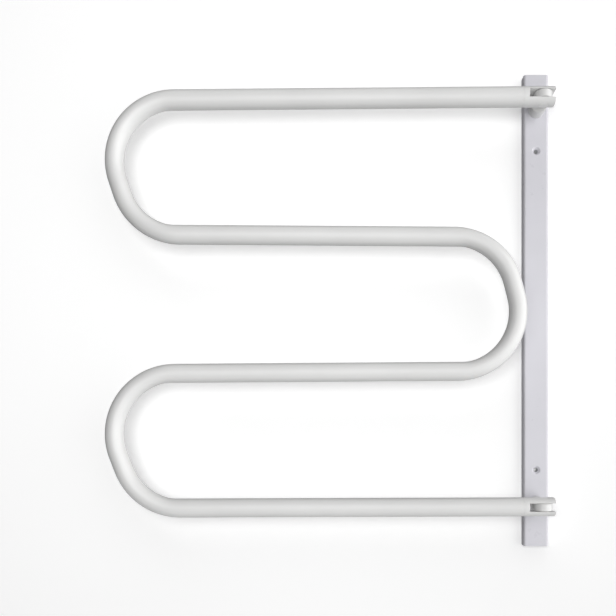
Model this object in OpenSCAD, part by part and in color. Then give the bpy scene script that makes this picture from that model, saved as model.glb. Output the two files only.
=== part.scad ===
// Swivel heated towel rail on a wall channel.
// X to the right, Y into the wall, Z up. The back of the channel lies at Y = 0,
// and the origin is midway between the two wall screws.

/* [Rail tube] */
// Outer diameter of the tube
tube_d = 22; // [20:0.5:24]
// Wall thickness of the tube
tube_wall = 1.2; // [0.8:0.1:1.6]
// Centre-line radius of the bends, two to each half turn
bend_r = 70; // [60:1:80]
// Height of the short straight between the two bends of a half turn
straight_h = 16; // [4:0.5:30]
// Degrees in the first bend of the upper left half turn, the second bend making up the rest
turn1_first = 108; // [90:1:115]
// Degrees in the first bend of the right half turn
turn2_first = 75; // [65:1:90]
// Degrees in the first bend of the lower left half turn
turn3_first = 111; // [90:1:115]
// From the swivel axis to the centre line of the two left half turns
left_reach = 496; // [420:1:560]
// From the swivel axis to the centre line of the right half turn
right_gap = 29.5; // [27:0.5:50]
// Slope of the first bar in degrees, rising to the right
bar1_tilt = 0.5; // [-1:0.1:1]
// Slope of the second bar
bar2_tilt = -0.4; // [-1:0.1:1]
// Slope of the third bar
bar3_tilt = 0.4; // [-1:0.1:1]
// Slope of the fourth bar
bar4_tilt = 0.2; // [-1:0.1:1]

/* [Wall channel] */
// Width of the channel
channel_w = 30; // [28:0.5:36]
// Depth of the channel from its front face to the wall
channel_d = 12; // [12:0.5:16]
// How far the channel runs past each hinge, the mean of top and bottom
channel_overhang = 47; // [45:1:70]
// How far the pair of hinges sits above the middle of the channel
hinge_lift = 4; // [-4:0.5:4]
// Thickness of the sheet
sheet_t = 1.5; // [1:0.1:2]
// Outside radius of the folded edges
fold_r = 3; // [1:0.1:3.4]
// Distance between the two wall screws
screw_pitch = 385; // [340:5:395]
// Hole for a wall screw
screw_hole_d = 5; // [4:0.1:5.6]
// Countersink of that hole, across
screw_sink_d = 10; // [8:0.5:11]

/* [Forks] */
// Height of the slot that takes the eye
slot_h = 9.5; // [8:0.1:10]
// From the swivel axis to the closed end of the slot
slot_back = 18; // [17:0.5:20]
// From the swivel axis to the shoulder that meets the tube
shoulder_back = 24; // [22:0.5:26]
// From the swivel axis to the free end of the ears
ear_reach = 12.7; // [11.5:0.1:13.2]
// Chamfer round the free end of the ears
ear_chamfer = 0.8; // [0.3:0.1:1.2]
// Length of the plug inside the tube
plug_l = 26; // [20:1:34]
// Bore in the plug
plug_bore_d = 8.4; // [7:0.1:9]

/* [Hinge arms] */
// From the front face of the channel to the swivel axis
stand_off = 30; // [28:0.5:40]
// Diameter of the round eye
eye_d = 20.8; // [19:0.1:21.6]
// Width of the tongue between eye and collar
tongue_w = 16; // [14:0.5:17]
// Diameter of the collar
collar_d = 19; // [18.4:0.2:21]
// Length of the collar
collar_l = 13; // [10:0.5:13]
// Diameter of the tenon that locates the arm in the channel
tenon_d = 7; // [6:0.1:7.4]
// Distance between the two screws of an arm
arm_screw_pitch = 12.6; // [12.2:0.1:13]
// Diameter of the arm screws
arm_screw_d = 3.5; // [3:0.1:3.6]
// How deep the arm screws reach into the collar
arm_screw_grip = 6; // [4:0.5:8]

/* [Pins and bushes] */
// Diameter of the hinge pins
pin_d = 8; // [7:0.1:8.6]
// Outer diameter of the bushes
bush_d = 11; // [10.4:0.1:12]
// Outer diameter of the thrust washers
washer_d = 17; // [15:0.5:18]
// Thickness of a thrust washer
washer_t = 0.5; // [0.3:0.1:0.8]
// Diameter of the pin caps
cap_d = 10.2; // [9.8:0.1:10.8]
// Diameter of the set screws in the forks
fork_screw_d = 4; // [3:0.1:5]

/* [Wiring] */
// Diameter of the leads
lead_d = 3.2; // [2.6:0.1:3.3]
// Diameter of the heating cable
cable_d = 5.5; // [4:0.1:6]
// Diameter of the cut-out and of the cable's end seal
cutout_d = 8; // [6.6:0.1:8.2]
// Length of the cut-out
cutout_l = 24; // [18:1:30]
// Length of the cable's end seal
seal_l = 20; // [14:1:24]
// Width of the terminal block
block_w = 16; // [14:0.5:18]
// Height of the terminal block
block_h = 14; // [12:0.5:14]
// Thickness of the terminal block
block_t = 7; // [6:0.1:8]
// Thickness of the insulating plate
plate_t = 2; // [1.6:0.1:2.4]
// Thickness of the backing plates
backing_t = 3; // [2:0.1:3.5]
// Height of a backing plate
backing_h = 30; // [24:1:30]

/* [Hidden] */
$fn = 96;

// Clearances: running fit of a pin, seat of a fixed piece, side play of a washer
running = 0.05;
seat = 0.03;
play = 0.05;
slip = 0.2;
over = 1;

// The wall swells a little where the tube is bent, and a straight length is let into it
bend_swell = 0.08;
lap = 0.1;

// Course of the tube's centre line in X and Z, from the top hinge at [0, 0]. A heading is in degrees,
// anticlockwise from +X. Side is 1 where a half turn goes anticlockwise and -1 where it goes clockwise.
function along(h) = [cos(h), sin(h)];
function across(h) = [-sin(h), cos(h)];

// A half turn from one heading to the next: its short straight, the step it makes and how far it bulges
function straight_l(h, side, first) = -straight_h / sin(h + side * first);
function half_turn(h, next, side, first, l) =
    side * bend_r * (across(h) - across(next)) + l * along(h + side * first);
function bulge(h, side, first, l) = bend_r + max(0, sign(cos(h)) * l * cos(h + side * first));

// Length of a bar that starts at x and whose half turn bulges as far as reach
function bar_l(x, h, side, first, l, reach) =
    (reach - x - sign(cos(h)) * bulge(h, side, first, l) + side * bend_r * sin(h)) / cos(h);

heading1 = 180 + bar1_tilt;
heading2 = bar2_tilt;
heading3 = bar3_tilt - 180;
heading4 = bar4_tilt;
straight1_l = straight_l(heading1, 1, turn1_first);
straight2_l = straight_l(heading2, -1, turn2_first);
straight3_l = straight_l(heading3, 1, turn3_first);
bar1_l = bar_l(0, heading1, 1, turn1_first, straight1_l, -left_reach);
bar1_end = bar1_l * along(heading1);
bar2_start = bar1_end + half_turn(heading1, heading2, 1, turn1_first, straight1_l);
bar2_l = bar_l(bar2_start[0], heading2, -1, turn2_first, straight2_l, -right_gap);
bar2_end = bar2_start + bar2_l * along(heading2);
bar3_start = bar2_end + half_turn(heading2, heading3, -1, turn2_first, straight2_l);
bar3_l = bar_l(bar3_start[0], heading3, 1, turn3_first, straight3_l, -left_reach);
bar3_end = bar3_start + bar3_l * along(heading3);
bar4_start = bar3_end + half_turn(heading3, heading4, 1, turn3_first, straight3_l);
bar4_l = -bar4_start[0] / cos(heading4);
rail_h = -bar4_start[1] - bar4_l * sin(heading4);

tube_r = tube_d / 2;
bore_r = tube_r - tube_wall;
hinge_z = rail_h / 2;
axis_y = -channel_d - stand_off;
channel_h = rail_h + 2 * channel_overhang;
inner_w = channel_w - 2 * sheet_t;
inner_d = channel_d - sheet_t;
plate_side = 0.5;
plate_w = inner_w - 2 * plate_side;
function hinge_at(side) = side * hinge_z + hinge_lift;

eye_h = slot_h - 2 * (washer_t + 2 * play);
collar_y = stand_off - collar_l;
sink_depth = (screw_sink_d - screw_hole_d) / 2;
dimple_h = sink_depth + sheet_t / 2;
dimple_r = screw_hole_d / 2 + sheet_t;
spacer_r = dimple_r + sheet_t / 2;
spacer_l = channel_d - dimple_h;

// The lead turns in the arm and the pin, and lies still in its channel in the lower ear
lead_gap = 0.4;
lead_slip = 0.3;
lead_bore = lead_d + 2 * lead_gap;
pin_bore = lead_d + 3 * lead_gap;
channel_bore = lead_d + 2 * lead_slip;
lead_drop = (slot_h / 2 + bore_r) / 2;
cap_seat = lead_drop + lead_d / 2 + lead_slip / 2;
grommet_wall = 0.8;
grommet_d = lead_d + 2 * grommet_wall;
head_rim = 1.3;
screw_head_d = arm_screw_d + 2 * head_rim;
screw_head_h = 2;
drill_tip = 1;

wiring_y = -inner_d;
block_y = wiring_y + plate_t;
bay_low = hinge_at(1) + backing_h / 2;
bay_high = channel_h / 2 - sheet_t;
bay_gap = 2;
block_z = bay_low + bay_gap + block_h / 2;
pole_x = block_w / 4;
contact_d = 4.4;
contact_bore = 2.6;
contact_inset = 1;
contact_l = block_h - 2 * contact_inset;
terminal_screw_d = 2.6;
core_d = 1.6;
core_split = 7;
core_reach = 4;
clamp_w = 18;
clamp_h = 5;
clamp_t = 2.5;
clamp_post = 3;
clamp_z = bay_high - bay_gap - clamp_h / 2;
clamp_screw_d = 3;
clamp_screw_x = (clamp_w - clamp_h) / 2;
clamp_screw_grip = plate_t / 2;
clamp_head_h = 1;
set_screw_depth = 0.3;
hex_d = fork_screw_d / 2;
lead_bend = 5;
lead_turn_y = wiring_y + backing_t + grommet_wall;
lead_up_y = lead_turn_y + lead_bend;

// Places along the first and the last bar, from the swivel axis
plug_end = -shoulder_back - plug_l;
screw_x = -shoulder_back - plug_l / 2;
crimp_d = 4.6;
crimp_l = 8;
lead_rise_x = plug_end - lead_d;
crimp1_x = lead_rise_x - crimp_l / 2;
cutout_x = crimp1_x - crimp_l / 2 - cutout_l / 2;
crimp2_x = cutout_x - cutout_l / 2 - crimp_l / 2;
cable_x = crimp2_x - crimp_l / 2;
seal_grip = 12;
seal_x = plug_end + seal_grip - seal_l / 2;

// Facets round a bend and round the tube, in the drawn view
course_fn = 40;

paint = "white";
cast = "whitesmoke";
steel = "silver";
rubber = "dimgray";

// Puts children on the swivel axis at the top or the bottom hinge
module at_hinge(side) translate([0, axis_y, hinge_at(side)]) children();

// Turns children into line with the bar that ends at a hinge
module in_line(t) rotate([0, -t, 0]) children();

// A round bar along +X, from x1 to x2
module rod_x(d, x1, x2) translate([x1, 0, 0]) rotate([0, 90, 0]) cylinder(d = d, h = x2 - x1);

// A round bar along +Y, from y1 to y2
module rod_y(d, y1, y2) translate([0, y1, 0]) rotate([-90, 0, 0]) cylinder(d = d, h = y2 - y1);

// A block centred in X and Z, from y1 to y2
module slab(w, h, y1, y2) translate([-w / 2, y1, -h / 2]) cube([w, y2 - y1, h]);

// Cross-section of the tube, or of a round cable
module ring(r_out, r_in) difference() {
    circle(r_out, $fn = course_fn);
    if (r_in > 0) circle(r_in, $fn = course_fn);
}

// A straight length along +X, let into the bend at either end, with what follows it
module run(l, r_out, r_in) {
    translate([-lap, 0, 0]) rotate([0, 90, 0]) linear_extrude(l + 2 * lap) ring(r_out, r_in);
    translate([l, 0, 0]) children();
}

// A bend off +X towards side * Z, with what follows it at its far end
module turn(side, sweep, r_out, r_in) {
    mirror([0, 0, side < 0 ? 1 : 0]) translate([0, 0, bend_r]) rotate([90, 0, 0]) rotate([0, 0, -90])
        rotate_extrude(angle = sweep, $fn = course_fn) translate([bend_r, 0])
            ring(r_out + bend_swell, r_in - bend_swell);
    translate([0, 0, side * bend_r]) rotate([0, -side * sweep, 0])
        translate([0, 0, -side * bend_r]) children();
}

// A half turn of sweep degrees in all: a bend of first degrees, a straight and a second bend
module turn_back(side, first, l, sweep, r_out, r_in)
    turn(side, first, r_out, r_in) run(l, r_out, r_in) turn(side, sweep - first, r_out, r_in) children();

// The whole serpentine from the top hinge, its ends trim1 and trim4 short of the swivel axis
module serpentine(trim1, trim4, r_out, r_in = 0)
    at_hinge(1) in_line(bar1_tilt) rotate([0, 180, 0]) translate([trim1 + lap, 0, 0])
        run(bar1_l - trim1 - lap, r_out, r_in)
        turn_back(1, turn1_first, straight1_l, 180 + bar2_tilt - bar1_tilt, r_out, r_in)
        run(bar2_l, r_out, r_in)
        turn_back(-1, turn2_first, straight2_l, 180 + bar2_tilt - bar3_tilt, r_out, r_in)
        run(bar3_l, r_out, r_in)
        turn_back(1, turn3_first, straight3_l, 180 + bar4_tilt - bar3_tilt, r_out, r_in)
        run(bar4_l - trim4 - lap, r_out, r_in);

// Outline of the channel with rounded long edges, h high
module channel_outline(w, d, r) {
    translate([-w / 2, -d + r]) square([w, d - r]);
    translate([r - w / 2, -d]) square([w - 2 * r, d]);
    for (s = [-1, 1]) translate([s * (w / 2 - r), r - d]) circle(r);
}

// A dimpled screw hole, its mouth at Y = 0 and pointing to +Y
module dimple(r_mouth, r_hole, depth, beyond) rotate([-90, 0, 0]) {
    cylinder(r1 = r_mouth, r2 = r_hole, h = depth);
    cylinder(r = r_hole, h = depth + beyond);
}

module wall_channel() color(paint) difference() {
    union() {
        difference() {
            translate([0, 0, -channel_h / 2]) linear_extrude(channel_h)
                channel_outline(channel_w, channel_d, fold_r);
            translate([-inner_w / 2, -inner_d, -channel_h / 2 + sheet_t])
                cube([inner_w, inner_d + over, channel_h - 2 * sheet_t]);
        }
        for (s = [-1, 1]) translate([0, -channel_d + sheet_t / 2, s * screw_pitch / 2])
            rotate([-90, 0, 0])
                cylinder(r1 = dimple_r + sink_depth, r2 = dimple_r, h = dimple_h - sheet_t / 2);
    }
    for (s = [-1, 1]) {
        translate([0, -channel_d, s * screw_pitch / 2])
            dimple(screw_sink_d / 2, screw_hole_d / 2, sink_depth, channel_d);
        translate([0, 0, hinge_at(s)]) {
            rod_y(tenon_d + 2 * seat, -channel_d - over, 0);
            for (k = [-1, 1]) translate([0, 0, k * arm_screw_pitch / 2])
                rod_y(arm_screw_d + slip, -channel_d - over, 0);
        }
    }
}

module screw_spacers() color("gainsboro")
    for (s = [-1, 1]) translate([0, -spacer_l + seat, s * screw_pitch / 2]) difference() {
        rod_y(2 * spacer_r, 0, spacer_l - seat);
        rod_y(screw_hole_d, -over, spacer_l + over);
    }

// One hinge arm about its swivel axis: eye, tongue, collar and tenon
module arm() color(cast) difference() {
    union() {
        translate([0, 0, -eye_h / 2]) cylinder(d = eye_d, h = eye_h);
        slab(tongue_w, eye_h, 0, collar_y + over);
        rod_y(collar_d, collar_y, stand_off);
        rod_y(tenon_d, stand_off - over, stand_off + sheet_t);
    }
    translate([0, 0, -eye_h / 2 - over]) cylinder(d = bush_d + 2 * seat, h = eye_h + 2 * over);
    rod_y(lead_bore, 0, stand_off + sheet_t + over);
    for (k = [-1, 1]) translate([0, 0, k * arm_screw_pitch / 2])
        rod_y(arm_screw_d + 2 * seat, stand_off - arm_screw_grip - drill_tip, stand_off + over);
}

module top_arm() at_hinge(1) arm();

module bottom_arm() at_hinge(-1) arm();

module backing_plate() color(steel) difference() {
    slab(plate_w, backing_h, wiring_y, wiring_y + backing_t);
    rod_y(grommet_d, wiring_y - over, wiring_y + backing_t + over);
    for (k = [-1, 1]) translate([0, 0, k * arm_screw_pitch / 2])
        rod_y(arm_screw_d + slip, wiring_y - over, wiring_y + backing_t + over);
}

module top_backing_plate() translate([0, 0, hinge_at(1)]) backing_plate();

module bottom_backing_plate() translate([0, 0, hinge_at(-1)]) backing_plate();

// Pan-head screws from inside the channel, through the backing plate into the collar
module arm_screws() color(steel)
    for (s = [-1, 1], k = [-1, 1])
        translate([0, wiring_y + backing_t, hinge_at(s) + k * arm_screw_pitch / 2]) {
            rod_y(screw_head_d, 0, screw_head_h);
            rod_y(arm_screw_d, -backing_t - sheet_t - arm_screw_grip, over);
        }

module bush() color("goldenrod") difference() {
    translate([0, 0, -eye_h / 2]) cylinder(d = bush_d, h = eye_h);
    translate([0, 0, -eye_h / 2 - over]) cylinder(d = pin_d + 2 * running, h = eye_h + 2 * over);
    rod_y(lead_bore, 0, bush_d);
}

module top_bush() at_hinge(1) bush();

module bottom_bush() at_hinge(-1) bush();

module thrust_washers() color("ivory")
    for (s = [-1, 1], k = [-1, 1]) at_hinge(s) translate([0, 0, k * (eye_h / 2 + play + washer_t / 2)])
        difference() {
            cylinder(d = washer_d, h = washer_t, center = true);
            cylinder(d = pin_d + slip, h = washer_t + over, center = true);
        }

// Rubber grommet in the backing plate, behind the top arm
module lead_grommet() color(rubber) translate([0, wiring_y, hinge_at(1)]) difference() {
    union() {
        rod_y(grommet_d - 2 * seat, 0, backing_t + grommet_wall);
        rod_y(grommet_d + 2 * grommet_wall, backing_t, backing_t + grommet_wall);
    }
    rod_y(lead_d + 2 * seat, -over, backing_t + 2 * over);
}

// Lead from the swivel axis through the arm and up, where two cores enter the contacts
module supply_lead() color(rubber) {
    split_z = block_z - block_h / 2 - core_split;
    rise_z = hinge_at(1) + lead_bend;
    at_hinge(1) {
        sphere(d = lead_d);
        rod_y(lead_d, 0, lead_turn_y - axis_y);
    }
    translate([0, lead_turn_y, rise_z]) rotate([0, 90, 0])
        rotate_extrude(angle = 90) translate([lead_bend, 0]) circle(d = lead_d);
    translate([0, lead_up_y, rise_z]) cylinder(d = lead_d, h = split_z - rise_z);
    for (s = [-1, 1]) {
        corner = [s * pole_x, block_y + block_t / 2, block_z - block_h / 2 - core_d];
        translate(corner) sphere(d = core_d);
        translate(corner) cylinder(d = core_d, h = core_reach + core_d);
        core([0, lead_up_y, split_z - core_d / 2], corner);
    }
}

// A straight core between two points
module core(from, to) {
    span = to - from;
    translate(from) rotate([0, acos(span[2] / norm(span)), atan2(span[1], span[0])])
        cylinder(d = core_d, h = norm(span));
}

module wiring_plate() color("lightyellow") difference() {
    translate([-plate_w / 2, wiring_y, bay_low + bay_gap / 2])
        cube([plate_w, plate_t, bay_high - bay_low - bay_gap]);
    for (s = [-1, 1]) translate([s * clamp_screw_x, block_y, clamp_z])
        rod_y(clamp_screw_d + 2 * seat, -clamp_screw_grip - seat, over);
}

module terminal_block() color("ivory") translate([0, block_y, block_z]) difference() {
    slab(block_w, block_h, 0, block_t);
    for (s = [-1, 1]) translate([s * pole_x, block_t / 2, 0]) {
        cylinder(d = contact_d + 2 * seat, h = block_h + over, center = true);
        rod_y(terminal_screw_d + slip, 0, block_t);
    }
}

module terminal_contacts() color("gold") translate([0, block_y + block_t / 2, block_z])
    for (s = [-1, 1]) translate([s * pole_x, 0, 0]) difference() {
        cylinder(d = contact_d, h = contact_l, center = true);
        cylinder(d = contact_bore, h = block_h, center = true);
        rod_y(terminal_screw_d + 2 * seat, 0, contact_d);
    }

module terminal_screws() color(steel) translate([0, block_y + block_t / 2, block_z])
    for (s = [-1, 1]) translate([s * pole_x, 0, 0])
        rod_y(terminal_screw_d, core_d / 2 + seat, block_t / 2);

// Saddle that presses the incoming cable on the insulating plate
module cord_clamp() color("ivory") translate([0, block_y, clamp_z]) difference() {
    union() {
        slab(clamp_w, clamp_h, clamp_post, clamp_post + clamp_t);
        for (s = [-1, 1]) translate([s * clamp_screw_x, 0, 0]) slab(clamp_h, clamp_h, 0, clamp_post + over);
    }
    for (s = [-1, 1]) translate([s * clamp_screw_x, 0, 0])
        rod_y(clamp_screw_d + 2 * seat, -over, clamp_post + clamp_t + over);
}

module clamp_screws() color(steel)
    for (s = [-1, 1]) translate([s * clamp_screw_x, block_y, clamp_z]) {
        rod_y(clamp_screw_d, -clamp_screw_grip, clamp_post + clamp_t + clamp_head_h / 2);
        rod_y(clamp_h, clamp_post + clamp_t, clamp_post + clamp_t + clamp_head_h);
    }

module rail_tube() color(paint) difference() {
    serpentine(shoulder_back + seat, shoulder_back + seat, tube_r, bore_r);
    for (s = [-1, 1]) at_hinge(s) in_line(s > 0 ? bar1_tilt : bar4_tilt)
        translate([screw_x, 0, 0]) rod_y(fork_screw_d + slip, 0, tube_d);
}

// One fork in line with its bar, its slot and pin holes square to the swivel axis
module fork(t) color(cast) difference() {
    in_line(t) difference() {
        union() {
            rod_x(tube_d, -shoulder_back, ear_reach - ear_chamfer);
            translate([ear_reach - ear_chamfer, 0, 0]) rotate([0, 90, 0])
                cylinder(r1 = tube_r, r2 = tube_r - ear_chamfer, h = ear_chamfer);
            rod_x(2 * (bore_r - running), plug_end, -shoulder_back + over);
        }
        rod_x(plug_bore_d, plug_end - over, -shoulder_back);
        translate([screw_x, 0, 0]) rod_y(fork_screw_d + 2 * seat, 0, tube_d);
    }
    translate([-slot_back, -tube_d, -slot_h / 2]) cube([2 * tube_d, 2 * tube_d, slot_h]);
    cylinder(d = pin_d + 2 * seat, h = 2 * cap_seat, center = true);
    for (k = [0, 1]) mirror([0, 0, k]) translate([0, 0, cap_seat]) cylinder(d = cap_d + 2 * seat, h = tube_d);
}

module top_fork() at_hinge(1) difference() {
    fork(bar1_tilt);
    in_line(bar1_tilt) translate([0, 0, -lead_drop]) rod_x(channel_bore, plug_end - over, 0);
}

module bottom_fork() at_hinge(-1) fork(bar4_tilt);

module fork_screws() color(steel)
    for (s = [-1, 1]) at_hinge(s) in_line(s > 0 ? bar1_tilt : bar4_tilt)
        translate([screw_x, 0, 0]) difference() {
            rod_y(fork_screw_d, plug_bore_d / 2, tube_r - set_screw_depth);
            translate([0, tube_r - tube_wall, 0]) rotate([-90, 0, 0])
                cylinder(d = hex_d, h = tube_wall, $fn = 6);
        }

// Hollow pin, open on the side away from the tube so that the lead can turn
module top_pin() color(steel) at_hinge(1) difference() {
    cylinder(d = pin_d, h = 2 * cap_seat - 2 * seat, center = true);
    cylinder(d = pin_bore, h = 2 * cap_seat, center = true);
    translate([-pin_bore / 2 + lead_gap / 2, -pin_d, -lead_bore / 2]) cube([pin_d, 2 * pin_d, lead_bore]);
    in_line(bar1_tilt) translate([0, 0, -lead_drop]) rod_x(channel_bore, -pin_d, 0);
}

module bottom_pin() color(steel) at_hinge(-1)
    cylinder(d = pin_d, h = 2 * cap_seat - 2 * seat, center = true);

// Caps over the pin ends, cut to the roundness of the tube
module pin_caps(t) color(cast) for (k = [0, 1]) intersection() {
    mirror([0, 0, k]) translate([0, 0, cap_seat]) cylinder(d = cap_d, h = tube_r);
    in_line(t) rod_x(tube_d, -cap_d, cap_d);
}

module top_pin_caps() at_hinge(1) pin_caps(bar1_tilt);

module bottom_pin_caps() at_hinge(-1) pin_caps(bar4_tilt);

// Lead down the hollow pin, along the lower ear and up to the middle of the tube
module rail_lead() color(rubber) at_hinge(1) {
    translate([0, 0, -lead_drop]) cylinder(d = lead_d, h = lead_drop - lead_d / 2 - slip);
    in_line(bar1_tilt) {
        translate([0, 0, -lead_drop]) {
            sphere(d = lead_d);
            rod_x(lead_d, lead_rise_x, 0);
        }
        translate([lead_rise_x, 0, -lead_drop]) {
            sphere(d = lead_d);
            cylinder(d = lead_d, h = lead_drop);
        }
        translate([lead_rise_x, 0, 0]) sphere(d = lead_d);
    }
}

// Sleeves that join lead, cut-out and heating cable
module crimp_sleeves() color("steelblue") at_hinge(1) in_line(bar1_tilt) {
    rod_x(crimp_d, crimp1_x - crimp_l / 2 + seat, lead_rise_x - lead_d / 2 - seat);
    rod_x(crimp_d, crimp2_x - crimp_l / 2 + seat, crimp2_x + crimp_l / 2 - seat);
}

module thermal_cutout() color("lightsteelblue") at_hinge(1) in_line(bar1_tilt)
    rod_x(cutout_d, cutout_x - cutout_l / 2, cutout_x + cutout_l / 2);

module heating_cable() color("firebrick") serpentine(-cable_x, -seal_x + seal_l / 2, cable_d / 2);

module cable_end_seal() color(rubber) at_hinge(-1) in_line(bar4_tilt)
    rod_x(cutout_d, seal_x - seal_l / 2 + seat, seal_x + seal_l / 2);

wall_channel();
screw_spacers();
top_arm();
bottom_arm();
top_backing_plate();
bottom_backing_plate();
arm_screws();
top_bush();
bottom_bush();
thrust_washers();
lead_grommet();
supply_lead();
wiring_plate();
terminal_block();
terminal_contacts();
terminal_screws();
cord_clamp();
clamp_screws();
rail_tube();
top_fork();
bottom_fork();
fork_screws();
top_pin();
bottom_pin();
top_pin_caps();
bottom_pin_caps();
rail_lead();
crimp_sleeves();
thermal_cutout();
heating_cable();
cable_end_seal();
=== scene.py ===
import bpy
import bmesh
import math
from mathutils import Matrix, Vector


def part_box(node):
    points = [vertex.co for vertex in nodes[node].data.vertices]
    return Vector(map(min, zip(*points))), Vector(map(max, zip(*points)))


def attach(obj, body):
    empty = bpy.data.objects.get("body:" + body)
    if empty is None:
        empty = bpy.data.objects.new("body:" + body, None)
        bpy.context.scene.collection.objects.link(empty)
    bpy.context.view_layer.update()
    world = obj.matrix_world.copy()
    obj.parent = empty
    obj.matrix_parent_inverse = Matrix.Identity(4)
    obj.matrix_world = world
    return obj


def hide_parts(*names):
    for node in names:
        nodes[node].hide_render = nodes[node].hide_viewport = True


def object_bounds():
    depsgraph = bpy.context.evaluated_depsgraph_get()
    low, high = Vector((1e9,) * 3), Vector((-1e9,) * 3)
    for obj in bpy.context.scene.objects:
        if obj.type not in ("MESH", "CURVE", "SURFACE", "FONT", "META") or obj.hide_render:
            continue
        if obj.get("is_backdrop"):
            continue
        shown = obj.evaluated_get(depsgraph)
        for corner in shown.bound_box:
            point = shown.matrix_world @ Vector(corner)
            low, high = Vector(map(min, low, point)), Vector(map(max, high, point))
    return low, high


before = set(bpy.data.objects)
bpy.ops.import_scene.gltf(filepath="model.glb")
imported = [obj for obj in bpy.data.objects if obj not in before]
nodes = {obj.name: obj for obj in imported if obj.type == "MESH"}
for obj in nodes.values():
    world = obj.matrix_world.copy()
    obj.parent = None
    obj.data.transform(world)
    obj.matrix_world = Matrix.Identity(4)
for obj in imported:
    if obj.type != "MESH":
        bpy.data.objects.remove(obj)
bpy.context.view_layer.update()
print("frame loaded:", len(nodes), "nodes")


def middle(node):
    low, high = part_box(node)
    return (Vector(low) + Vector(high)) / 2


def inScene(name, data):
    made = bpy.data.objects.new(name, data)
    bpy.context.scene.collection.objects.link(made)
    return made


topHinge = middle("top_pin")          # both hinges, on the swivel axis
bottomHinge = middle("bottom_pin")


# Node trees written as Python

class Wire:
    # one output socket; the usual operators add Math nodes
    def __init__(self, tree, socket):
        self.tree, self.socket = tree, socket

    def math(self, operation, first, second=0.0):
        return self.tree.node("ShaderNodeMath", {"operation": operation}, {0: first, 1: second})

    def __add__(self, other):
        return self.math("ADD", self, other)

    def __sub__(self, other):
        return self.math("SUBTRACT", self, other)

    def __rsub__(self, other):
        return self.math("SUBTRACT", other, self)

    def __mul__(self, other):
        return self.math("MULTIPLY", self, other)

    def __truediv__(self, other):
        return self.math("DIVIDE", self, other)

    def __rtruediv__(self, other):
        return self.math("DIVIDE", other, self)

    def __pow__(self, other):
        return self.math("POWER", self, other)

    def __rpow__(self, other):
        return self.math("POWER", other, self)

    def __neg__(self):
        return self.math("MULTIPLY", self, -1.0)

    def sine(self):
        return self.math("SINE", self)

    def atLeast(self, least):
        return self.math("MAXIMUM", self, least)

    def above(self, level):
        return self.math("GREATER_THAN", self, level)

    def angleFrom(self, other):
        return self.math("ARCTAN2", self, other)

    def zigzag(self):
        # 1 at whole numbers, 0 half way between them
        return self.math("ABSOLUTE", self.math("FRACT", self) - 0.5) * 2.0

    __radd__, __rmul__ = __add__, __mul__


class Tree:
    def __init__(self, nodeTree):
        self.tree = nodeTree

    def node(self, kind, settings=None, sockets=None, out=0):
        # settings come first; a socket, by its name or number, takes a value, a wire or a list of wires
        made = self.tree.nodes.new(kind)
        for name, value in (settings or {}).items():
            setattr(made, name, value)
        for name, value in (sockets or {}).items():
            self.feed(made.inputs[name], value)
        return made if out is None else Wire(self, made.outputs[out])

    def feed(self, socket, value):
        if isinstance(value, list):
            for one in value:
                self.feed(socket, one)
        elif isinstance(value, Wire):
            self.tree.links.new(value.socket, socket)
        else:
            socket.default_value = value

    def parts(self, vector):
        cut = self.node("ShaderNodeSeparateXYZ", sockets={0: vector}, out=None)
        return [Wire(self, output) for output in cut.outputs]

    def whole(self, x, y, z):
        return self.node("ShaderNodeCombineXYZ", sockets={0: x, 1: y, 2: z})

    def vector(self, operation, first, second, out=0):
        return self.node("ShaderNodeVectorMath", {"operation": operation}, {0: first, 1: second}, out=out)

    def mix(self, factor, first, second):
        # colours: sockets 0, 6 and 7 of the Mix node, output 2
        return self.node("ShaderNodeMix", {"data_type": "RGBA"}, {0: factor, 6: first, 7: second}, out=2)


class Material(Tree):
    def __init__(self, name):
        self.material = bpy.data.materials.new(name)
        self.material.use_nodes = True
        super().__init__(self.material.node_tree)
        self.tree.nodes.clear()
        self.place = self.node("ShaderNodeTexCoord", out="Object")

    def noise(self, scale, detail=3.0, roughness=0.5, where=None, distortion=0.0):
        return self.node("ShaderNodeTexNoise", sockets={
            "Vector": where or self.place, "Scale": scale, "Detail": detail,
            "Roughness": roughness, "Distortion": distortion})

    def between(self, value, edges, most=1.0):
        # 0 below the first edge, most above the second
        return self.node("ShaderNodeMapRange", {"interpolation_type": "SMOOTHSTEP"}, {
            "Value": value, "From Min": edges[0], "From Max": edges[1], "To Max": most})

    def patches(self, base, colour, value, edges, most=1.0):
        # the base turns to the other colour where the value passes the edges
        return self.mix(self.between(value, edges, most), base, colour)

    def clouded(self, colour, value, edges, shades):
        return self.patches(shade(colour, shades[0]), shade(colour, shades[1]), value, edges)

    def bump(self, height, strength, distance):
        return self.node("ShaderNodeBump", sockets={
            "Height": height, "Strength": strength, "Distance": distance})

    def finish(self, **sockets):
        named = {label.replace("_", " "): value for label, value in sockets.items()}
        shader = self.node("ShaderNodeBsdfPrincipled", sockets=named)
        self.node("ShaderNodeOutputMaterial", sockets={"Surface": shader}, out=None)
        return self.material


def grey(level):
    return (level, level, level, 1)


def shade(colour, level):
    return tuple(min(1.0, c * level) for c in colour) + (1,)


def sway(noise, amount):
    # up and down about the middle of a noise
    return (noise - 0.5) * amount


# Camera, where the photograph was taken from

camera = {
    "place": (-0.203, -0.760, -0.1494),
    "lens": 36.23,
    "sensor": 36.0,
    "shiftX": -0.0974,
    "shiftY": 0.205,
}
camData = bpy.data.cameras.new("roomCamera")
camData.lens, camData.sensor_width = camera["lens"], camera["sensor"]
camData.shift_x, camData.shift_y = camera["shiftX"], camera["shiftY"]
camObject = inScene("roomCamera", camData)
camObject.location = camera["place"]
camObject.rotation_euler = (math.radians(90), 0, 0)      # level, square to the wall
bpy.context.scene.camera = camObject
print("camera placed")


# Stage: a pale wall, a pale floor and soft lights

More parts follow.
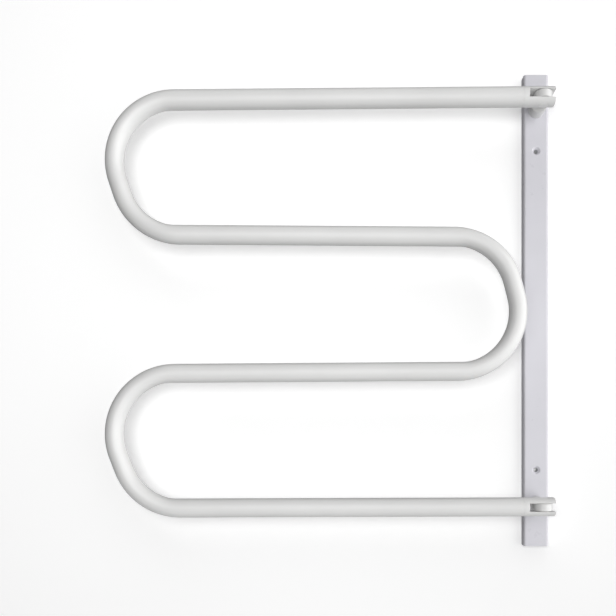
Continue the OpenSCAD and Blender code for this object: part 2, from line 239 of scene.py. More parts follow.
stage = {
    "size": 6.0,
    "wallBright": 0.93,
    "wallGlow": 0.235,
    "floorDrop": 1.0,         # below the origin
    "floorGrey": 0.80,
    "floorGlow": 0.45,
    "cloudScale": 1.5,        # faint clouds in the paint of both
    "cloudEdges": (0.3, 0.7),
    "cloudShade": 0.985,
    "roughness": 0.9,
    "gloss": 0.1,
    "world": 0.18,            # what the room gives from every side
    "backdrop": 0.88,         # how bright the empty room looks
    "aim": (-0.22, 0.0, 0.0),
    # degrees to the right and up, distance, half the angle it takes up seen from the rail,
    # the brightness that a white sheet facing it would have from it alone, and what it lights
    "lights": {
        "windowRight": (62, 0, 4.0, 42, 0.376, "all"),
        "windowFill": (62, 0, 3.7, 42, 0.58, "rail"),
        "ceiling": (0, 70, 2.5, 31, 0.09, "all"),
        "wallWash": (0, 70, 2.3, 31, 0.275, "wall"),
        "floorBounce": (0, -60, 2.5, 31, 0.13, "rail"),
        "frontLamp": (-6, 0, 1.0, 26, 0.35, "rail"),
        "behindRight": (158, 0, 2.5, 14, 0.55, "rail"),
        "behindLeft": (192, 0, 2.5, 14, 0.24, "rail"),
        "cameraLamp": (-6, 0, 1.2, 13, 0.40, "wall"),
    },
}


def plane(name, turn, place, paint):
    mesh = bpy.data.meshes.new(name)
    half = stage["size"] / 2
    corners = [(-half, -half, 0), (half, -half, 0), (half, half, 0), (-half, half, 0)]
    mesh.from_pydata(corners, [], [(0, 1, 2, 3)])
    mesh.transform(Matrix.Translation(place) @ turn)
    mesh.materials.append(paint)
    made = inScene(name, mesh)
    made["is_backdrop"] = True
    return made


def stagePaint(name, level, glow, oneSided=False):
    m = Material(name)
    cloud = m.noise(stage["cloudScale"], detail=2.0)
    surface = m.node("ShaderNodeBsdfPrincipled", sockets={
        "Base Color": m.patches(grey(level * stage["cloudShade"]), grey(level), cloud, stage["cloudEdges"]),
        "Roughness": stage["roughness"], "Specular IOR Level": stage["gloss"],
        "Emission Color": grey(1.0), "Emission Strength": glow})
    if oneSided:              # the wall hides nothing from a camera behind it
        behind = m.node("ShaderNodeNewGeometry", out="Backfacing")
        clear = m.node("ShaderNodeBsdfTransparent")
        surface = m.node("ShaderNodeMixShader", sockets={0: behind, 1: surface, 2: clear})
    m.node("ShaderNodeOutputMaterial", sockets={"Surface": surface}, out=None)
    return m.material


wall = plane("stageWall", Matrix.Rotation(math.radians(90), 4, "X"), Vector((0, 0, 0)),
             stagePaint("wallPaint", stage["wallBright"], stage["wallGlow"], oneSided=True))
wall.visible_diffuse = wall.visible_glossy = wall.visible_shadow = wall.visible_transmission = False
floor = plane("stageFloor", Matrix.Identity(4), Vector((0, 0, -stage["floorDrop"])),
              stagePaint("floorPaint", stage["floorGrey"], stage["floorGlow"]))
floor.visible_diffuse = floor.visible_shadow = False      # the floorBounce lamp stands for its light

world = bpy.data.worlds.new("paleRoom")
bpy.context.scene.world = world
world.use_nodes = True
room = Tree(world.node_tree)
room.tree.nodes.clear()
seen = room.node("ShaderNodeLightPath", out="Is Camera Ray")
given, shown = (room.node("ShaderNodeBackground", sockets={"Color": grey(1.0), "Strength": stage[label]})
                for label in ("world", "backdrop"))
air = room.node("ShaderNodeMixShader", sockets={0: seen, 1: given, 2: shown})
room.node("ShaderNodeOutputWorld", sockets={"Surface": air}, out=None)

for name, (right, up, distance, halfAngle, strength, lit) in stage["lights"].items():
    right, up, halfAngle = math.radians(right), math.radians(up), math.radians(halfAngle)
    towards = Vector((math.sin(right) * math.cos(up), -math.cos(right) * math.cos(up), math.sin(up)))
    radius = distance * math.tan(halfAngle)
    data = bpy.data.lights.new(name, "AREA")
    data.shape, data.size = "DISK", 2 * radius
    data.energy = strength / math.sin(halfAngle) ** 2 * (math.pi * radius) ** 2
    lamp = inScene(name, data)
    lamp.location = Vector(stage["aim"]) + towards * distance
    lamp.rotation_euler = (-towards).to_track_quat("-Z", "Y").to_euler()
    lamp.visible_camera = False
    lamp.visible_glossy = not name.startswith("behind")   # no glint along the edges of tube and channel
    if lit != "all":
        receivers = bpy.data.collections.new(name + "Lights")
        for surface in (wall, floor) if lit == "rail" else (wall,):
            receivers.objects.link(surface)
        for linked in receivers.collection_objects:
            linked.light_linking.link_state = "INCLUDE" if lit == "wall" else "EXCLUDE"
        lamp.light_linking.receiver_collection = receivers
bpy.context.scene.view_settings.view_transform = "Standard"
print("stage and lights set")


# Powder coats

# in every finish a scale is a noise's cells per metre, edges are where a patch begins and is full,
# shades multiply the colour, a gloss is the noise's sway in roughness, and heights are in metres
powder = {
    "cloudScale": 9.0, "cloudEdges": (0.35, 0.65), "cloudShades": (0.975, 1.012), "cloudGloss": 0.08,
    "mottleScale": 120.0, "mottleEdges": (0.60, 0.80), "mottleMost": 0.12, "mottleShade": 0.94,
    "mottleGloss": 0.10,
    "peelScale": 430.0, "peelRoughness": 0.45,
    "gritScale": 1700.0, "gritShare": 0.2,
    "height": 0.00012,
    "coat": 0.25, "coatRoughness": 0.22,
}


def powderCoat(name, colour, roughness=0.34, peel=0.25):
    # sprayed and baked: faint clouding, orange peel, a little dust in the gloss
    m = Material(name)
    cloud = m.noise(powder["cloudScale"])
    mottle = m.noise(powder["mottleScale"], detail=4.0)
    waves = m.noise(powder["peelScale"], detail=2.0, roughness=powder["peelRoughness"])
    grit = m.noise(powder["gritScale"], detail=2.0)
    base = m.clouded(colour, cloud, powder["cloudEdges"], powder["cloudShades"])
    base = m.patches(base, shade(colour, powder["mottleShade"]), mottle, powder["mottleEdges"],
                     powder["mottleMost"])
    rough = roughness + sway(cloud, powder["cloudGloss"]) + sway(mottle, powder["mottleGloss"])
    height = waves * (1 - powder["gritShare"]) + grit * powder["gritShare"]
    return m.finish(Base_Color=base, Roughness=rough, Normal=m.bump(height, peel, powder["height"]),
                    Coat_Weight=powder["coat"], Coat_Roughness=powder["coatRoughness"])


tubeCoat = powderCoat("tubeCoat", (0.67, 0.67, 0.665))
castCoat = powderCoat("castCoat", (0.66, 0.66, 0.655), peel=0.35)
# the channel's colour is darker and cooler than the tube's white: partly a greyer paint, partly painted
# shade on its flat face
channelCoat = powderCoat("channelCoat", (0.605, 0.60, 0.64), roughness=0.3, peel=0.12)
print("powder coats mixed")


# Finishes of what sits inside: metals, mouldings, rubber and sheaths

zinc = {
    "cloudScale": 260.0, "cloudEdges": (0.35, 0.68), "cloudShades": (0.84, 1.05),
    "tinge": (0.64, 0.67, 0.56, 1), "tingeEdges": (0.52, 0.75), "tingeMost": 0.30,
    "speckScale": 1500.0, "speckEdges": (0.64, 0.76), "speckMost": 0.5, "speckShade": 0.6,
    "scratchScale": 160.0, "scratchWay": (1, 3, 26), "scratchGloss": 0.30,
    "roughness": 0.34, "dullEdges": (0.6, 0.8), "dull": 0.15,
    "metallic": 0.7,
    "speckShare": 0.3, "strength": 0.2, "height": 0.00004,
}


def platedSteel(name, colour):
    # zinc: cloudy passivation with a yellow-green tinge, handling scratches, dull specks
    m = Material(name)
    cloud = m.noise(zinc["cloudScale"])
    drawn = m.vector("MULTIPLY", m.place, zinc["scratchWay"])
    scratch = m.noise(zinc["scratchScale"], detail=2.0, where=drawn)
    speck = m.noise(zinc["speckScale"], detail=2.0)
    base = m.clouded(colour, cloud, zinc["cloudEdges"], zinc["cloudShades"])
    base = m.patches(base, zinc["tinge"], cloud, zinc["tingeEdges"], zinc["tingeMost"])
    base = m.patches(base, shade(colour, zinc["speckShade"]), speck, zinc["speckEdges"], zinc["speckMost"])
    rough = zinc["roughness"] + sway(scratch, zinc["scratchGloss"])
    rough = rough + m.between(speck, zinc["dullEdges"]) * zinc["dull"]
    height = scratch * (1 - zinc["speckShare"]) + speck * zinc["speckShare"]
    return m.finish(Base_Color=base, Roughness=rough, Metallic=zinc["metallic"],
                    Normal=m.bump(height, zinc["strength"], zinc["height"]))


turned = {
    "marksWay": (90, 90, 5200), "marksGloss": 0.22,
    "stainScale": 190.0, "stainEdges": (0.35, 0.7), "stainShades": (0.82, 1.05), "stainGloss": 0.12,
    "poreScale": 3800.0, "poreEdges": (0.60, 0.70), "poreShade": 0.25,
    "strength": 0.22, "height": 0.00003,
}


def turnedMetal(name, colour, roughness, pores=0.0):
    # tool marks round the swivel axis; pores are the open grain of a pressed bush
    m = Material(name)
    fromAxis = m.vector("SUBTRACT", m.place, tuple(topHinge))
    marks = m.noise(1.0, where=m.vector("MULTIPLY", fromAxis, turned["marksWay"]))
    stain = m.noise(turned["stainScale"])
    grain = m.noise(turned["poreScale"], detail=1.0)
    base = m.clouded(colour, stain, turned["stainEdges"], turned["stainShades"])
    base = m.patches(base, shade(colour, turned["poreShade"]), grain, turned["poreEdges"], pores)
    rough = roughness + sway(marks, turned["marksGloss"]) + sway(stain, turned["stainGloss"])
    height = marks * (1 - pores) + grain * pores
    return m.finish(Base_Color=base, Roughness=rough, Metallic=1.0,
                    Normal=m.bump(height, turned["strength"], turned["height"]))


moulding = {
    "flowScale": 70.0, "flowWay": (1, 1, 0.25), "flowTwist": 1.2, "flowEdges": (0.3, 0.7),
    "flowShades": (0.93, 1.03), "flowGloss": 0.12,
    "dustScale": 420.0, "dustEdges": (0.62, 0.8), "dustMost": 0.35, "dustShade": 0.8,
    "dullEdges": (0.55, 0.8), "dull": 0.18,
    "grainScale": 2100.0, "strength": 0.18, "height": 0.00004,
}


def moulded(name, colour, roughness=0.42):
    # pale flow lines from the gate, a fine spark-eroded grain, dust that has settled
    m = Material(name)
    flow = m.noise(moulding["flowScale"], where=m.vector("MULTIPLY", m.place, moulding["flowWay"]),
                   distortion=moulding["flowTwist"])
    grain = m.noise(moulding["grainScale"], detail=2.0)
    dust = m.noise(moulding["dustScale"], detail=4.0)
    base = m.clouded(colour, flow, moulding["flowEdges"], moulding["flowShades"])
    base = m.patches(base, shade(colour, moulding["dustShade"]), dust, moulding["dustEdges"],
                     moulding["dustMost"])
    rough = roughness + sway(flow, moulding["flowGloss"])
    rough = rough + m.between(dust, moulding["dullEdges"]) * moulding["dull"]
    return m.finish(Base_Color=base, Roughness=rough,
                    Normal=m.bump(grain, moulding["strength"], moulding["height"]))


board = {
    "fibreScale": 150.0, "fibreWays": ((1, 1, 9), (9, 1, 1)), "fibreEdges": (0.45, 0.72),
    "fibreShades": (0.84, 1.04), "fibreGloss": 0.2,
    "roughness": 0.62, "strength": 0.25, "height": 0.00006,
}


def pressedBoard(name, colour):
    # insulating sheet: short fibres every way, a sanded face
    m = Material(name)
    across, along = (m.noise(board["fibreScale"], where=m.vector("MULTIPLY", m.place, way))
                     for way in board["fibreWays"])
    weave = across.atLeast(along)
    base = m.clouded(colour, weave, board["fibreEdges"], board["fibreShades"])
    return m.finish(Base_Color=base, Roughness=board["roughness"] + sway(weave, board["fibreGloss"]),
                    Normal=m.bump(weave, board["strength"], board["height"]))


softRubber = {
    "chalkScale": 180.0, "chalkEdges": (0.45, 0.75), "chalkMost": 0.4, "chalkShade": 1.9,
    "chalkGloss": 0.25,
    "pebbleScale": 1300.0,
    "roughness": 0.62, "strength": 0.3, "height": 0.00005,
}


def rubber(name, colour):
    # matt, chalky where it was handled, with the mould's fine pebble
    m = Material(name)
    pebble = m.noise(softRubber["pebbleScale"], detail=2.0)
    chalk = m.noise(softRubber["chalkScale"], detail=4.0)
    base = m.patches(shade(colour, 1.0), shade(colour, softRubber["chalkShade"]), chalk,
                     softRubber["chalkEdges"], softRubber["chalkMost"])
    rough = softRubber["roughness"] + sway(chalk, softRubber["chalkGloss"])
    return m.finish(Base_Color=base, Roughness=rough,
                    Normal=m.bump(pebble, softRubber["strength"], softRubber["height"]))


silicone = {
    "rib": 900.0, "braidEdges": (-0.2, 0.9), "braidMost": 0.25, "braidShade": 0.78,
    "hazeScale": 240.0, "hazeEdges": (0.35, 0.7), "hazeShades": (0.86, 1.06), "hazeGloss": 0.2,
    "roughness": 0.46, "strength": 0.2, "height": 0.00005,
}


def sheath(name, colour):
    # drawn silicone over a braid that shows through as a fine diagonal weave
    m = Material(name)
    x, y, z = m.parts(m.vector("MULTIPLY", m.place, (silicone["rib"],) * 3))
    braid = (x + z + y).sine() * (x - z + y).sine()
    haze = m.noise(silicone["hazeScale"])
    base = m.clouded(colour, haze, silicone["hazeEdges"], silicone["hazeShades"])
    base = m.patches(base, shade(colour, silicone["braidShade"]), braid, silicone["braidEdges"],
                     silicone["braidMost"])
    return m.finish(Base_Color=base, Roughness=silicone["roughness"] + sway(haze, silicone["hazeGloss"]),
                    Normal=m.bump(braid, silicone["strength"], silicone["height"]))


lead = {
    "leftCore": (0.05, 0.16, 0.42, 1),
    "rightCore": (0.24, 0.11, 0.05, 1),
    "sheathEnd": 0.0078,      # below the terminal block
    "hazeScale": 300.0, "hazeEdges": (0.35, 0.7), "hazeShades": (0.9, 1.04), "hazeGloss": 0.25,
    "roughness": 0.48, "strength": 0.15, "height": 0.00005,
}


def leadSheath(name, colour):
    # the outer sheath ends below the terminals, and its two cores come out in their own colours
    m = Material(name)
    x, _, z = m.parts(m.place)
    haze = m.noise(lead["hazeScale"])
    core = m.mix(x.above(0.0), lead["leftCore"], lead["rightCore"])
    terminalLow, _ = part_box("terminal_block")
    base = m.clouded(colour, haze, lead["hazeEdges"], lead["hazeShades"])
    base = m.mix(z.above(terminalLow[2] - lead["sheathEnd"]), base, core)
    return m.finish(Base_Color=base, Roughness=lead["roughness"] + sway(haze, lead["hazeGloss"]),
                    Normal=m.bump(haze, lead["strength"], lead["height"]))


zincPlate = platedSteel("zincPlate", (0.66, 0.67, 0.69))
groundSteel = turnedMetal("groundSteel", (0.62, 0.62, 0.63), 0.24)
sinteredBronze = turnedMetal("sinteredBronze", (0.72, 0.53, 0.27), 0.4, pores=0.6)
turnedBrass = turnedMetal("turnedBrass", (0.80, 0.64, 0.34), 0.28)
naturalNylon = moulded("naturalNylon", (0.86, 0.85, 0.80))
whiteCap = moulded("whiteCap", (0.72, 0.72, 0.715), roughness=0.32)
cutoutCase = moulded("cutoutCase", (0.18, 0.22, 0.30), roughness=0.5)
blueCrimp = moulded("blueCrimp", (0.15, 0.28, 0.52), roughness=0.3)
insulatingBoard = pressedBoard("insulatingBoard", (0.80, 0.76, 0.62))
mattRubber = rubber("mattRubber", (0.16, 0.16, 0.17))
redSilicone = sheath("redSilicone", (0.55, 0.12, 0.10))
paleSheath = leadSheath("paleSheath", (0.74, 0.74, 0.72))

carriedOver = {                       # these nodes keep the CAD mesh
    "screw_spacers": zincPlate, "top_pin": groundSteel, "bottom_pin": groundSteel,
    "terminal_contacts": turnedBrass, "lead_grommet": mattRubber, "cable_end_seal": mattRubber,
    "supply_lead": paleSheath, "rail_lead": paleSheath, "heating_cable": redSilicone,
    "thermal_cutout": cutoutCase, "crimp_sleeves": blueCrimp,
}
for node, finish in carriedOver.items():
    for slot in nodes[node].material_slots:
        slot.material = finish
print("finishes given to", len(carriedOver), "carried-over nodes")


# Geometry Nodes trees, and what turns a piece into a plain mesh

making = {
    "crease": 35,             # degrees, past which an edge stays sharp
    "breakAngle": 30,         # degrees, past which an edge is broken
    "merge": 1e-6,            # metres, within which two points are one
}


class Shape(Tree):
    def __init__(self, name, sizes):
        group = bpy.data.node_groups.new(name, "GeometryNodeTree")
        super().__init__(group)
        group.interface.new_socket("Geometry", in_out="OUTPUT", socket_type="NodeSocketGeometry")
        group.interface.new_socket("Start", in_out="INPUT", socket_type="NodeSocketGeometry")
        self.sizes = {}
        for label, value in sizes.items():
            kind = "NodeSocketInt" if isinstance(value, int) else "NodeSocketFloat"
            socket = group.interface.new_socket(label, in_out="INPUT", socket_type=kind)
            self.sizes[socket.identifier] = value
        self.entry = group.nodes.new("NodeGroupInput")

    def given(self, label):
        return Wire(self, self.entry.outputs[label])

    def stored(self, label, kind="FLOAT"):
        return self.node("GeometryNodeInputNamedAttribute", {"data_type": kind}, {"Name": label})

    def shifted(self, geometry, offset):
        return self.node("GeometryNodeSetPosition", sockets={"Geometry": geometry, "Offset": offset})

    def made(self, geometry, name, mesh, material):
        real = self.node("GeometryNodeRealizeInstances", sockets={"Geometry": geometry})
        painted = self.node("GeometryNodeSetMaterial", sockets={"Geometry": real, "Material": material})
        self.node("NodeGroupOutput", sockets={"Geometry": painted}, out=None)
        piece = inScene(name, mesh)
        maker = piece.modifiers.new("maker", "NODES")
        maker.node_group = self.tree
        for identifier, value in self.sizes.items():
            maker[identifier] = value
        bake(piece)
        return piece


def bake(piece):
    # modifiers into the mesh
    seen = piece.evaluated_get(bpy.context.evaluated_depsgraph_get())
    mesh = bpy.data.meshes.new_from_object(seen)
    piece.modifiers.clear()
    piece.data = mesh


def settle(piece, material, body, replaced):
    # smooth faces with sharp edges, large flat ones left flat, one finish, and the body it moves with
    mesh = piece.data
    mesh.materials.clear()
    mesh.materials.append(material)
    mesh.shade_smooth()
    mesh.set_sharp_from_angle(angle=math.radians(making["crease"]))
    flatter = piece.modifiers.new("flatter", "WEIGHTED_NORMAL")
    flatter.keep_sharp = True
    bake(piece)
    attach(piece, body)
    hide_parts(replaced)


def outward(mesh):
    # doubles merged and faces turned outwards
    work = bmesh.new()
    work.from_mesh(mesh)
    bmesh.ops.remove_doubles(work, verts=work.verts, dist=making["merge"])
    bmesh.ops.recalc_face_normals(work, faces=work.faces)
    work.to_mesh(mesh)
    work.free()


# Bent tube: round in the bars, a little flattened and rippled on the inner side of each half turn

rail = {
    "tubeRadius": 0.011,
    "tubeWall": 0.0012,
    "bendRadius": 0.070,
    "straightRise": 0.016,    # height of the short straight between the two bends of a half turn
    "firstBends": (108, 75, 111),     # degrees, the second bend making up the rest
    "leftReach": 0.496,       # from the swivel axis to the centre line of the left half turns
    "rightGap": 0.0295,       # and of the right one
    "slopes": (0.5, -0.4, 0.4, 0.2),  # degrees by which each bar rises to the right
    "endTrim": 0.02403,       # from the swivel axis to the tube's ends
    "barStep": 0.012,
    "bendStep": 2.5,          # degrees
    "easeIn": 0.019,          # way into a half turn until the flattening is full
    "sides": 56,
    "flatten": 0.09,
    "ripple": 0.00005,
    "rippleLength": 0.0075,
    "setScrewPlace": 0.037,   # from the swivel axis
    "setScrewHole": 0.0021,
    "drillSides": 32,
}
railNotes = {"centre": "FLOAT_VECTOR", "towards": "FLOAT_VECTOR", "flat": "FLOAT", "way": "FLOAT"}


class Walker:
    # goes along the centre line in X and Z, and notes the point, the way towards the bend's inside,
    # how much the tube is flattened there and how far it has come
    def __init__(self, place, heading):
        self.place, self.heading, self.way = place, heading, 0.0
        self.course, self.side, self.turnBegin, self.turnEnd = [], 0, 0.0, 0.0

    def mark(self):
        inside = self.side * Vector((-math.sin(self.heading), 0, math.cos(self.heading)))
        toEnd = min(self.way - self.turnBegin, self.turnEnd - self.way)
        ease = min(1.0, toEnd / rail["easeIn"])
        flat = ease * ease * (3 - 2 * ease) if self.side else 0.0
        self.course.append((Vector((self.place.x, topHinge.y, self.place.y)), inside, flat, self.way))

    def step(self, length):
        forward = Vector((math.cos(self.heading), math.sin(self.heading)))
        self.place = self.place + forward * length

    def ahead(self, length):
        steps = math.ceil(length / rail["barStep"])
        for _ in range(steps):
            self.mark()
            self.step(length / steps)
            self.way += length / steps

    def bend(self, degrees):
        steps = round(degrees / rail["bendStep"])
        turn = self.side * math.radians(degrees) / steps
        radius = rail["bendRadius"]
        leftward = Vector((-math.sin(self.heading), math.cos(self.heading)))
        centre = self.place + self.side * radius * leftward
        for _ in range(steps):
            self.mark()
            self.place = centre + Matrix.Rotation(turn, 2) @ (self.place - centre)
            self.heading += turn
            self.way += radius * abs(turn)

    def turnBack(self, side, first, straight, whole):
        length = straight + rail["bendRadius"] * math.radians(whole)
        self.side, self.turnBegin, self.turnEnd = side, self.way, self.way + length
        self.bend(first)
        self.ahead(straight)
        self.bend(whole - first)
        self.side = 0


def railCourse():
    # headings are in degrees anticlockwise from +X, and each half turn bulges just as far as it reaches
    slopes, radius = rail["slopes"], rail["bendRadius"]
    headings = (180 + slopes[0], slopes[1], slopes[2] - 180, slopes[3])
    walker = Walker(Vector((topHinge.x, topHinge.z)), math.radians(headings[0]))
    walker.step(rail["endTrim"])
    for bar, first in enumerate(rail["firstBends"]):
        heading = math.radians(headings[bar])
        walker.heading = heading
        atRight = bar == 1            # the half turn after the second bar
        outside, side = (1, -1) if atRight else (-1, 1)
        reach = -rail["rightGap"] if atRight else -rail["leftReach"]
        slant = heading + side * math.radians(first)
        straight = -rail["straightRise"] / math.sin(slant)
        bulge = radius + max(0.0, outside * straight * math.cos(slant))
        run = reach - walker.place.x - outside * bulge + side * radius * math.sin(heading)
        walker.ahead(run / math.cos(heading))
        walker.turnBack(side, first, straight, side * (headings[bar + 1] - headings[bar]) % 360)
    walker.heading = math.radians(headings[3])
    walker.ahead(-walker.place.x / math.cos(walker.heading) - rail["endTrim"])
    walker.mark()
    return walker.course


def railMesh():
    course = railCourse()
    mesh = bpy.data.meshes.new("railCourse")
    mesh.from_pydata([point for point, *_ in course], [(i, i + 1) for i in range(len(course) - 1)], [])
    for column, (label, kind) in enumerate(railNotes.items()):
        layer = mesh.attributes.new(label, kind, "POINT")
        for point, row in zip(layer.data, course):
            setattr(point, "value" if kind == "FLOAT" else "vector", row[column])
    return mesh


def bentTube():
    g = Shape("bentTube", {"Tube radius": rail["tubeRadius"], "Sides": rail["sides"],
                           "Flatten": rail["flatten"], "Ripple": rail["ripple"],
                           "Ripple length": rail["rippleLength"]})
    path = g.node("GeometryNodeMeshToCurve", sockets={"Mesh": g.given("Start")})
    ring = g.node("GeometryNodeCurvePrimitiveCircle", sockets={
        "Resolution": g.given("Sides"), "Radius": g.given("Tube radius")})
    skin = g.node("GeometryNodeCurveToMesh", sockets={
        "Curve": path, "Profile Curve": ring, "Fill Caps": False})
    centre, towards, flat, way = (g.stored(label, kind) for label, kind in railNotes.items())
    offset = g.vector("SUBTRACT", g.node("GeometryNodeInputPosition"), centre)
    inward = g.vector("DOT_PRODUCT", offset, towards, out="Value").atLeast(0.0)
    share = inward / g.given("Tube radius")
    wave = (way * math.tau / g.given("Ripple length")).sine()
    push = flat * (share ** 3 * wave * g.given("Ripple") - inward * g.given("Flatten"))
    pushed = g.node("ShaderNodeVectorMath", {"operation": "SCALE"}, {0: towards, "Scale": push})
    piece = g.made(g.shifted(skin, pushed), "railSkin", railMesh(), tubeCoat)
    for label in railNotes:
        piece.data.attributes.remove(piece.data.attributes[label])
    outward(piece.data)
    thick = piece.modifiers.new("thick", "SOLIDIFY")
    thick.thickness, thick.offset = rail["tubeWall"], -1
    bake(piece)
    return piece


def drillSetScrews(piece):
    # the two holes behind the forks, where the set screws go in
    work = bmesh.new()
    for hinge, slope in ((topHinge, rail["slopes"][0]), (bottomHinge, rail["slopes"][3])):
        back = Vector((-math.cos(math.radians(slope)), 0, -math.sin(math.radians(slope))))
        centre = hinge + back * rail["setScrewPlace"] + Vector((0, rail["tubeRadius"], 0))
        alongY = Matrix.Translation(centre) @ Matrix.Rotation(math.radians(90), 4, "X")
        bmesh.ops.create_cone(work, cap_ends=True, segments=rail["drillSides"], depth=rail["tubeRadius"],
                              radius1=rail["setScrewHole"], radius2=rail["setScrewHole"], matrix=alongY)
    mesh = bpy.data.meshes.new("drills")
    work.to_mesh(mesh)
    work.free()
    drills = inScene("drills", mesh)
    cut = piece.modifiers.new("cut", "BOOLEAN")
    cut.operation, cut.solver, cut.object = "DIFFERENCE", "EXACT", drills
    bake(piece)
    bpy.data.objects.remove(drills)


railSkin = bentTube()
drillSetScrews(railSkin)
settle(railSkin, tubeCoat, "towel_rail", "rail_tube")
print("rail bent:", len(railSkin.data.polygons), "faces")


# Turned, cast and folded pieces: the CAD shape with its edges broken

softEdges = {                     # node: name, edge width, steps, finish, body, slot
    "top_fork": ("topForkBody", 0.00035, 3, tubeCoat, "towel_rail", "fork_paint"),
    "bottom_fork": ("bottomForkBody", 0.00035, 3, tubeCoat, "towel_rail", "fork_paint"),
    "top_pin_caps": ("topPinCovers", 0.00018, 2, whiteCap, "towel_rail", "cap"),
    "bottom_pin_caps": ("bottomPinCovers", 0.00018, 2, whiteCap, "towel_rail", "cap"),
    "top_arm": ("topArmCasting", 0.00024, 3, castCoat, "wall_bracket", "arm_paint"),
    "bottom_arm": ("bottomArmCasting", 0.00024, 3, castCoat, "wall_bracket", "arm_paint"),
    "wall_channel": ("channelSheet", 0.0003, 3, channelCoat, "wall_bracket", "channel_paint"),
    "top_backing_plate": ("topBackingBar", 0.0004, 2, zincPlate, "wall_bracket", "zinc"),
    "bottom_backing_plate": ("bottomBackingBar", 0.0004, 2, zincPlate, "wall_bracket", "zinc"),
    "top_bush": ("topBushSleeve", 0.0002, 2, sinteredBronze, "wall_bracket", "bush_bronze"),
    "bottom_bush": ("bottomBushSleeve", 0.0002, 2, sinteredBronze, "wall_bracket", "bush_bronze"),
    "thrust_washers": ("thrustRings", 0.0001, 2, naturalNylon, "wall_bracket", "nylon"),
    "wiring_plate": ("wiringBoard", 0.0003, 2, insulatingBoard, "wall_bracket", "nylon"),
    "terminal_block": ("terminalHousing", 0.0005, 3, naturalNylon, "wall_bracket", "nylon"),
    "cord_clamp": ("cordSaddle", 0.0005, 3, naturalNylon, "wall_bracket", "nylon"),
}


def broken(node, name, width, steps):
    mesh = nodes[node].data.copy()
    outward(mesh)
    piece = inScene(name, mesh)
    edge = piece.modifiers.new("edge", "BEVEL")
    edge.width, edge.segments = width, steps
    edge.limit_method, edge.angle_limit = "ANGLE", math.radians(making["breakAngle"])
    edge.use_clamp_overlap, edge.loop_slide = False, False
    bake(piece)
    return piece


for node, (name, width, steps, finish, body, slot) in softEdges.items():
    settle(broken(node, name, width, steps), finish, body, node)
print("edges broken on", len(softEdges), "pieces")


# Screws: a threaded stem, a head where there is one, and the recess for the driver

screws = {                        # stem and head are radii, thread is its depth, width is the recess's
    "arm_screws": {
        "name": "armScrews", "body": "wall_bracket", "drive": "cross", "width": 0.00085,
        "stem": 0.00175, "pitch": 0.0006, "thread": 0.0003, "head": 0.00305, "headHeight": 0.002},
    "clamp_screws": {
        "name": "clampScrews", "body": "wall_bracket", "drive": "cross", "width": 0.0007,
        "stem": 0.0015, "pitch": 0.0005, "thread": 0.00025, "head": 0.0025, "headHeight": 0.001},
    "terminal_screws": {
        "name": "terminalScrews", "body": "wall_bracket", "drive": "slot", "width": 0.00055,
        "stem": 0.0013, "pitch": 0.00045, "thread": 0.0002, "head": 0.0, "headHeight": 0.0},
    "fork_screws": {
        "name": "forkScrews", "body": "towel_rail", "drive": "hex", "width": 0.002,
        "stem": 0.002, "pitch": 0.0007, "thread": 0.00035, "head": 0.0, "headHeight": 0.0},
}
screwCut = {
    "sides": 32,
    "ringsPerTurn": 6,
    "headRings": 7,
    "domeFill": 0.9,          # how far up the head the dome's curve is used
    "domePower": 4,
    "crossReach": 1.1,        # of the head's radius
    "crossDepth": 1.2,        # of its height, centred on its top
    "slotReach": 3,           # of the stem's radius
    "socketDepth": 0.0009,
    "sink": 0.0002,           # how far the stem goes into the head
    "spin": 2.4,              # radians from one screw to the next
}


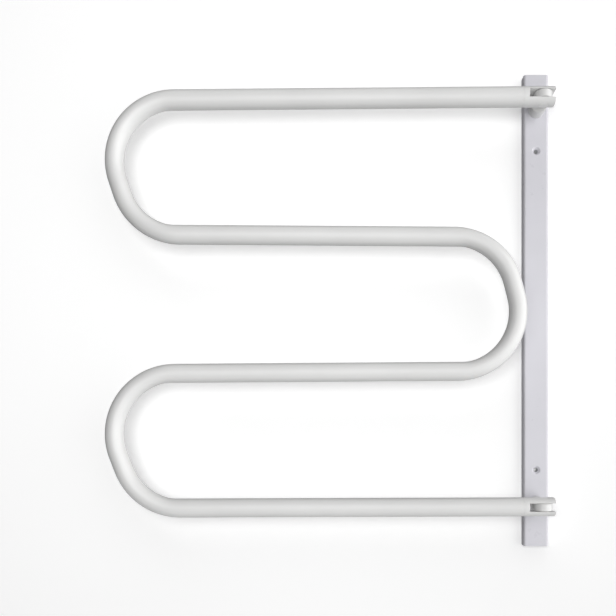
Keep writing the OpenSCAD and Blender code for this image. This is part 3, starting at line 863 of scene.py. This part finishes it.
def screwTree(screw, length):
    g = Shape(screw["name"], {
        "Stem radius": screw["stem"], "Stem length": length, "Pitch": screw["pitch"],
        "Thread depth": screw["thread"], "Head radius": screw["head"], "Head height": screw["headHeight"],
        "Drive width": screw["width"], "Sides": screwCut["sides"],
        "Stem rings": round(length / screw["pitch"] * screwCut["ringsPerTurn"])})
    x, y, z = g.parts(g.node("GeometryNodeInputPosition"))
    stemRadius, stemLength, width = g.given("Stem radius"), g.given("Stem length"), g.given("Drive width")
    headRadius, headHeight = g.given("Head radius"), g.given("Head height")

    def raised(bare, rise):
        return g.node("GeometryNodeTransform", sockets={
            "Geometry": bare, "Translation": g.whole(0.0, 0.0, rise)})

    def rod(radius, height, rings, rise):
        return raised(g.node("GeometryNodeMeshCylinder", sockets={
            "Vertices": g.given("Sides"), "Side Segments": rings, "Radius": radius, "Depth": height}), rise)

    def block(across, deep, tall, rise):
        return raised(g.node("GeometryNodeMeshCube", sockets={"Size": g.whole(across, deep, tall)}), rise)

    def swollen(geometry, amount):
        return g.shifted(geometry, g.whole(x * amount, y * amount, 0.0))

    # the stem hangs below the head, its thread one helix cut into it
    stem = rod(stemRadius, stemLength, g.given("Stem rings"), stemLength * -0.5)
    turn = y.angleFrom(x) / math.tau
    cut = (z / g.given("Pitch") - turn).zigzag() * g.given("Thread depth") / stemRadius
    stem = swollen(stem, -cut)
    top = stem
    if screw["head"]:
        top = rod(headRadius, headHeight, screwCut["headRings"], headHeight * 0.5)
        dome = (1 - (z / headHeight * screwCut["domeFill"]) ** screwCut["domePower"]) ** 0.5 - 1
        top = swollen(top, dome)

    # the recess, sunk from the top face
    if screw["drive"] == "cross":
        reach, sunk = headRadius * screwCut["crossReach"], headHeight * screwCut["crossDepth"]
        tools = [block(reach, width, sunk, headHeight), block(width, reach, sunk, headHeight)]
    elif screw["drive"] == "slot":
        tools = [block(stemRadius * screwCut["slotReach"], width, stemRadius, 0.0)]
    else:
        tools = [g.node("GeometryNodeMeshCylinder", sockets={
            "Vertices": 6, "Radius": width / math.sqrt(3), "Depth": screwCut["socketDepth"] * 2})]
    top = g.node("GeometryNodeMeshBoolean", {"operation": "DIFFERENCE", "solver": "EXACT"},
                 {"Mesh 1": top, "Mesh 2": tools})
    if screw["head"]:
        seated = raised(stem, screwCut["sink"])
        top = g.node("GeometryNodeJoinGeometry", sockets={"Geometry": [seated, top]})

    # every screw is driven from behind, each left at its own angle
    spin = g.node("GeometryNodeInputIndex") * screwCut["spin"]
    angle = g.node("FunctionNodeEulerToRotation", sockets={0: g.whole(-math.pi / 2, spin, 0.0)})
    return g, g.node("GeometryNodeInstanceOnPoints", sockets={
        "Points": g.given("Start"), "Instance": top, "Rotation": angle})


def screwPlaces(node, seat):
    # seats in X and Z, from the CAD screws' own box
    low, high = (Vector(corner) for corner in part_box(node))
    reach = max(screws[node]["head"], screws[node]["stem"])
    if node == "arm_screws":
        half = high.z - reach - topHinge.z
        return [Vector((0, seat, hinge.z + side * half))
                for hinge in (topHinge, bottomHinge) for side in (-1, 1)]
    if node == "fork_screws":
        return [Vector((low.x + reach, seat, z)) for z in (high.z - reach, low.z + reach)]
    return [Vector((x, seat, (low.z + high.z) / 2)) for x in (low.x + reach, high.x - reach)]


for node, screw in screws.items():
    low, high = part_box(node)
    seat = high[1] - screw["headHeight"]
    tree, screwSet = screwTree(screw, seat - low[1])
    points = bpy.data.meshes.new(screw["name"])
    points.from_pydata(screwPlaces(node, seat), [], [])
    piece = tree.made(screwSet, screw["name"], points, zincPlate)
    settle(piece, zincPlate, screw["body"], node)
    print(screw["name"], "cut:", len(piece.data.polygons), "faces")


low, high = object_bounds()
